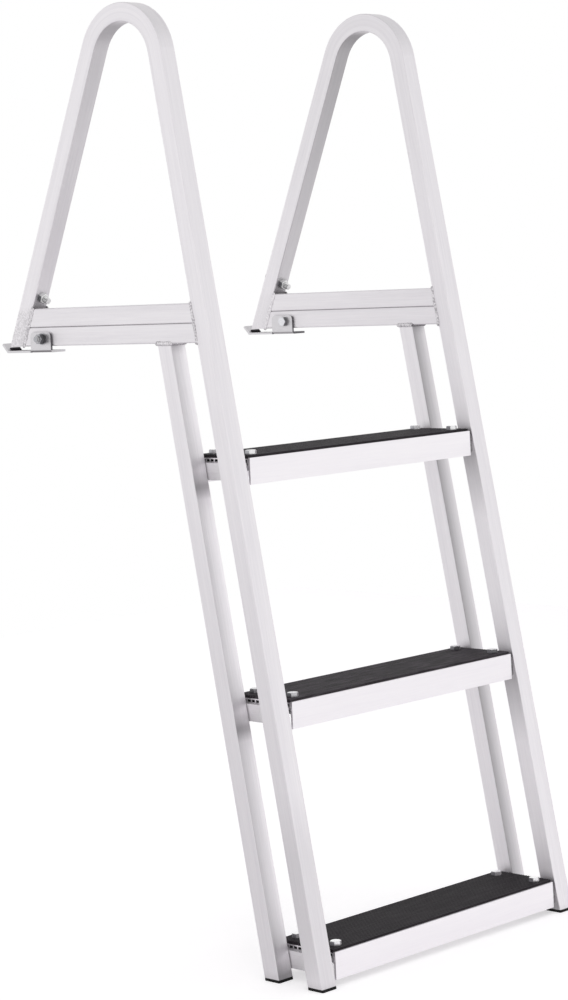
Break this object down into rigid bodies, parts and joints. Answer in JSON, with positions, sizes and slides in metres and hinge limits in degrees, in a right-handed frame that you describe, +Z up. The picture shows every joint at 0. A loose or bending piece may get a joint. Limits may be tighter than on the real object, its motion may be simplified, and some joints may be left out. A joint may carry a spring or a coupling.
{
  "type": "dock ladder",
  "caption": "Aluminium dock ladder with bent square-tube handrails, flat steps with black ribbed mats, and brackets that fasten it to a dock.",
  "frame": {"origin": "on the dock surface, halfway along the flat underside of the left bracket and in the middle plane of the left frame", "axes": "+X across the ladder from the left frame to the right frame, +Y from the water towards the dock, +Z up"},
  "size_m": [0.5176, 0.5542, 1.248],
  "materials": {
    "tube_aluminium": "mill finish, faintly brushed lengthwise",
    "deck_aluminium": "satin, as extruded",
    "angle_aluminium": "mill finish",
    "mat_rubber": "matt, ribbed",
    "black_plastic": "matt",
    "plate_steel": "zinc plated",
    "zinc_steel": "bright zinc plated"
  },
  "bodies": {
    "root": {"left_rail": "tube_aluminium", "left_back_rail": "tube_aluminium", "left_lower_arm": "tube_aluminium", "left_upper_arm": "tube_aluminium", "left_front_foot": "black_plastic", "left_back_foot": "black_plastic", "left_leg_plug": "black_plastic", "left_bracket": "plate_steel", "left_lip_pad": "mat_rubber", "left_bracket_bolt": "zinc_steel", "left_leg_bolt": "zinc_steel", "left_top_angle": "angle_aluminium", "left_middle_angle": "angle_aluminium", "left_bottom_angle": "angle_aluminium", "right_rail": "tube_aluminium", "right_back_rail": "tube_aluminium", "right_lower_arm": "tube_aluminium", "right_upper_arm": "tube_aluminium", "right_front_foot": "black_plastic", "right_back_foot": "black_plastic", "right_leg_plug": "black_plastic", "right_bracket": "plate_steel", "right_lip_pad": "mat_rubber", "right_bracket_bolt": "zinc_steel", "right_leg_bolt": "zinc_steel", "right_top_angle": "angle_aluminium", "right_middle_angle": "angle_aluminium", "right_bottom_angle": "angle_aluminium", "top_deck": "deck_aluminium", "top_mat": "mat_rubber", "top_step_bolts": "zinc_steel", "middle_deck": "deck_aluminium", "middle_mat": "mat_rubber", "middle_step_bolts": "zinc_steel", "bottom_deck": "deck_aluminium", "bottom_mat": "mat_rubber", "bottom_step_bolts": "zinc_steel"}
  },
  "joints": []
}
